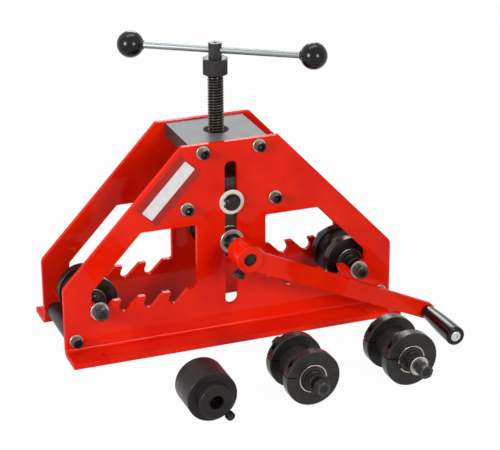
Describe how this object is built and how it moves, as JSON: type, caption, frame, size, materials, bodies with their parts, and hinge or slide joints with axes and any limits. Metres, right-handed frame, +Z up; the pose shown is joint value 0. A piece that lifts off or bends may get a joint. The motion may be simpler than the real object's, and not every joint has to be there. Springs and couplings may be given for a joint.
{
  "type": "ring roller",
  "caption": "Hand-cranked ring roller: two bent side plates carry a screw-fed driven roller between outer rollers in hooked notches, with spare rollers in front.",
  "frame": {"origin": "on the bench, in the middle of the four foot holes, under the middle of the machine", "axes": "+X along the side plates, towards the crank grip; -Y towards the crank side; +Z up"},
  "size_m": [0.5632, 0.4803, 0.4425],
  "materials": {
    "red_paint": "glossy red paint",
    "black_oxide": "black oxide",
    "zinc": "zinc plated",
    "block_steel": "ground grey",
    "bearing_steel": "bright steel",
    "black_plastic": "glossy black"
  },
  "bodies": {
    "frame": {"front_plate": "red_paint", "rear_plate": "red_paint", "top_block": "block_steel", "mid_spacers": "black_oxide", "foot_spacers": "black_oxide", "cap_screws": "black_oxide", "screw_washers": "zinc"},
    "carriage": {"carriage_yoke": "black_oxide", "guide_pin": "black_oxide", "guide_pin_washers": "zinc", "guide_pin_circlips": "black_oxide", "shaft_bearings": "bearing_steel"},
    "screw": {"press_screw": "black_oxide", "screw_hex": "black_oxide", "screw_circlip": "black_oxide"},
    "cross_bar": {"tee_bar": "zinc", "ball_knobs": "black_plastic"},
    "drive": {"drive_shaft": "black_oxide", "centre_roller": "black_oxide", "centre_roller_screw": "black_oxide", "shaft_spacers": "black_oxide", "shaft_washers": "zinc", "shaft_circlips": "black_oxide", "crank_hub": "red_paint", "crank_arm": "red_paint", "hub_clamp_bolt": "black_oxide", "grip_spindle": "bearing_steel"},
    "grip": {"crank_grip": "black_plastic"},
    "plain": {"plain_roller": "black_oxide", "plain_roller_screw": "black_oxide"},
    "left_axle": {"left_axle_stud": "black_oxide", "left_axle_nuts": "black_oxide", "left_axle_washers": "zinc", "left_axle_bushes": "black_oxide"},
    "left_wheel": {"left_roller": "black_oxide", "left_roller_bearings": "bearing_steel"},
    "right_axle": {"right_axle_stud": "black_oxide", "right_axle_nuts": "black_oxide", "right_axle_washers": "zinc", "right_axle_bushes": "black_oxide"},
    "right_wheel": {"right_roller": "black_oxide", "right_roller_bearings": "bearing_steel"},
    "drum_a_body": {"drum_a": "black_oxide", "drum_a_bearings": "bearing_steel"},
    "drum_a_near": {"drum_a_near_collar": "black_oxide", "drum_a_near_screw": "black_oxide"},
    "drum_a_far": {"drum_a_far_collar": "black_oxide", "drum_a_far_screw": "black_oxide"},
    "drum_a_axle": {"drum_a_bushes": "black_oxide", "drum_a_bush_screw": "black_oxide", "drum_a_stud": "black_oxide", "drum_a_nuts": "black_oxide"},
    "drum_b_body": {"drum_b": "black_oxide", "drum_b_bearings": "bearing_steel"},
    "drum_b_near": {"drum_b_near_collar": "black_oxide", "drum_b_near_screw": "black_oxide"},
    "drum_b_far": {"drum_b_far_collar": "black_oxide", "drum_b_far_screw": "black_oxide"},
    "drum_b_axle": {"drum_b_bushes": "black_oxide", "drum_b_bush_screw": "black_oxide", "drum_b_stud": "black_oxide", "drum_b_nuts": "black_oxide", "drum_b_washer": "zinc"}
  },
  "joints": [
    {"name": "press_slide", "type": "slide", "parent": "frame", "child": "carriage", "axis": [0, 0, 1], "range_m": [-0.08, 0.035]},
    {"name": "screw_spin", "type": "hinge", "parent": "carriage", "child": "screw", "pos_m": [0, 0, 0.3], "axis": [0, 0, 1], "range_deg": [-6780, 2970]},
    {"name": "cross_bar_slide", "type": "slide", "parent": "screw", "child": "cross_bar", "axis": [0.8271, -0.5621, 0], "range_m": [-0.111, 0.093]},
    {"name": "crank_spin", "type": "hinge", "parent": "carriage", "child": "drive", "pos_m": [0, 0, 0.1455], "axis": [0, 1, 0], "continuous": true},
    {"name": "grip_spin", "type": "hinge", "parent": "drive", "child": "grip", "pos_m": [0.28871, 0, 0.0146], "axis": [0, 1, 0], "continuous": true},
    {"name": "plain_roller_lift", "type": "slide", "parent": "frame", "child": "plain", "axis": [0, 0, 1], "range_m": [0, 0.1]},
    {"name": "left_axle_lift", "type": "slide", "parent": "frame", "child": "left_axle", "axis": [0.7071, 0, 0.7071], "range_m": [0, 0.045]},
    {"name": "left_roller_spin", "type": "hinge", "parent": "left_axle", "child": "left_wheel", "pos_m": [-0.2072, 0, 0.066], "axis": [0, 1, 0], "continuous": true},
    {"name": "right_axle_lift", "type": "slide", "parent": "frame", "child": "right_axle", "axis": [-0.7071, 0, 0.7071], "range_m": [0, 0.045]},
    {"name": "right_roller_spin", "type": "hinge", "parent": "right_axle", "child": "right_wheel", "pos_m": [0.2072, 0, 0.066], "axis": [0, 1, 0], "continuous": true},
    {"name": "drum_a_lift", "type": "slide", "parent": "frame", "child": "drum_a_body", "axis": [0, 0, 1], "range_m": [0, 0.1]},
    {"name": "drum_a_near_collar_slide", "type": "slide", "parent": "drum_a_body", "child": "drum_a_near", "axis": [-0.0262, 0.9997, 0], "range_m": [0, 0.019]},
    {"name": "drum_a_far_collar_slide", "type": "slide", "parent": "drum_a_body", "child": "drum_a_far", "axis": [-0.0262, 0.9997, 0], "range_m": [-0.019, 0]},
    {"name": "drum_a_axle_spin", "type": "hinge", "parent": "drum_a_body", "child": "drum_a_axle", "pos_m": [0.02, -0.331, 0.04], "axis": [-0.0262, 0.9997, 0], "continuous": true},
    {"name": "drum_b_lift", "type": "slide", "parent": "frame", "child": "drum_b_body", "axis": [0, 0, 1], "range_m": [0, 0.1]},
    {"name": "drum_b_near_collar_slide", "type": "slide", "parent": "drum_b_body", "child": "drum_b_near", "axis": [-0.0436, 0.999, 0], "range_m": [0, 0.019]},
    {"name": "drum_b_far_collar_slide", "type": "slide", "parent": "drum_b_body", "child": "drum_b_far", "axis": [-0.0436, 0.999, 0], "range_m": [-0.019, 0]},
    {"name": "drum_b_axle_spin", "type": "hinge", "parent": "drum_b_body", "child": "drum_b_axle", "pos_m": [0.172, -0.3265, 0.04], "axis": [-0.0436, 0.999, 0], "continuous": true}
  ],
  "couplings": [
    {"joint": "screw_spin", "follows": "press_slide", "rad_per_m": 1478.4}
  ]
}
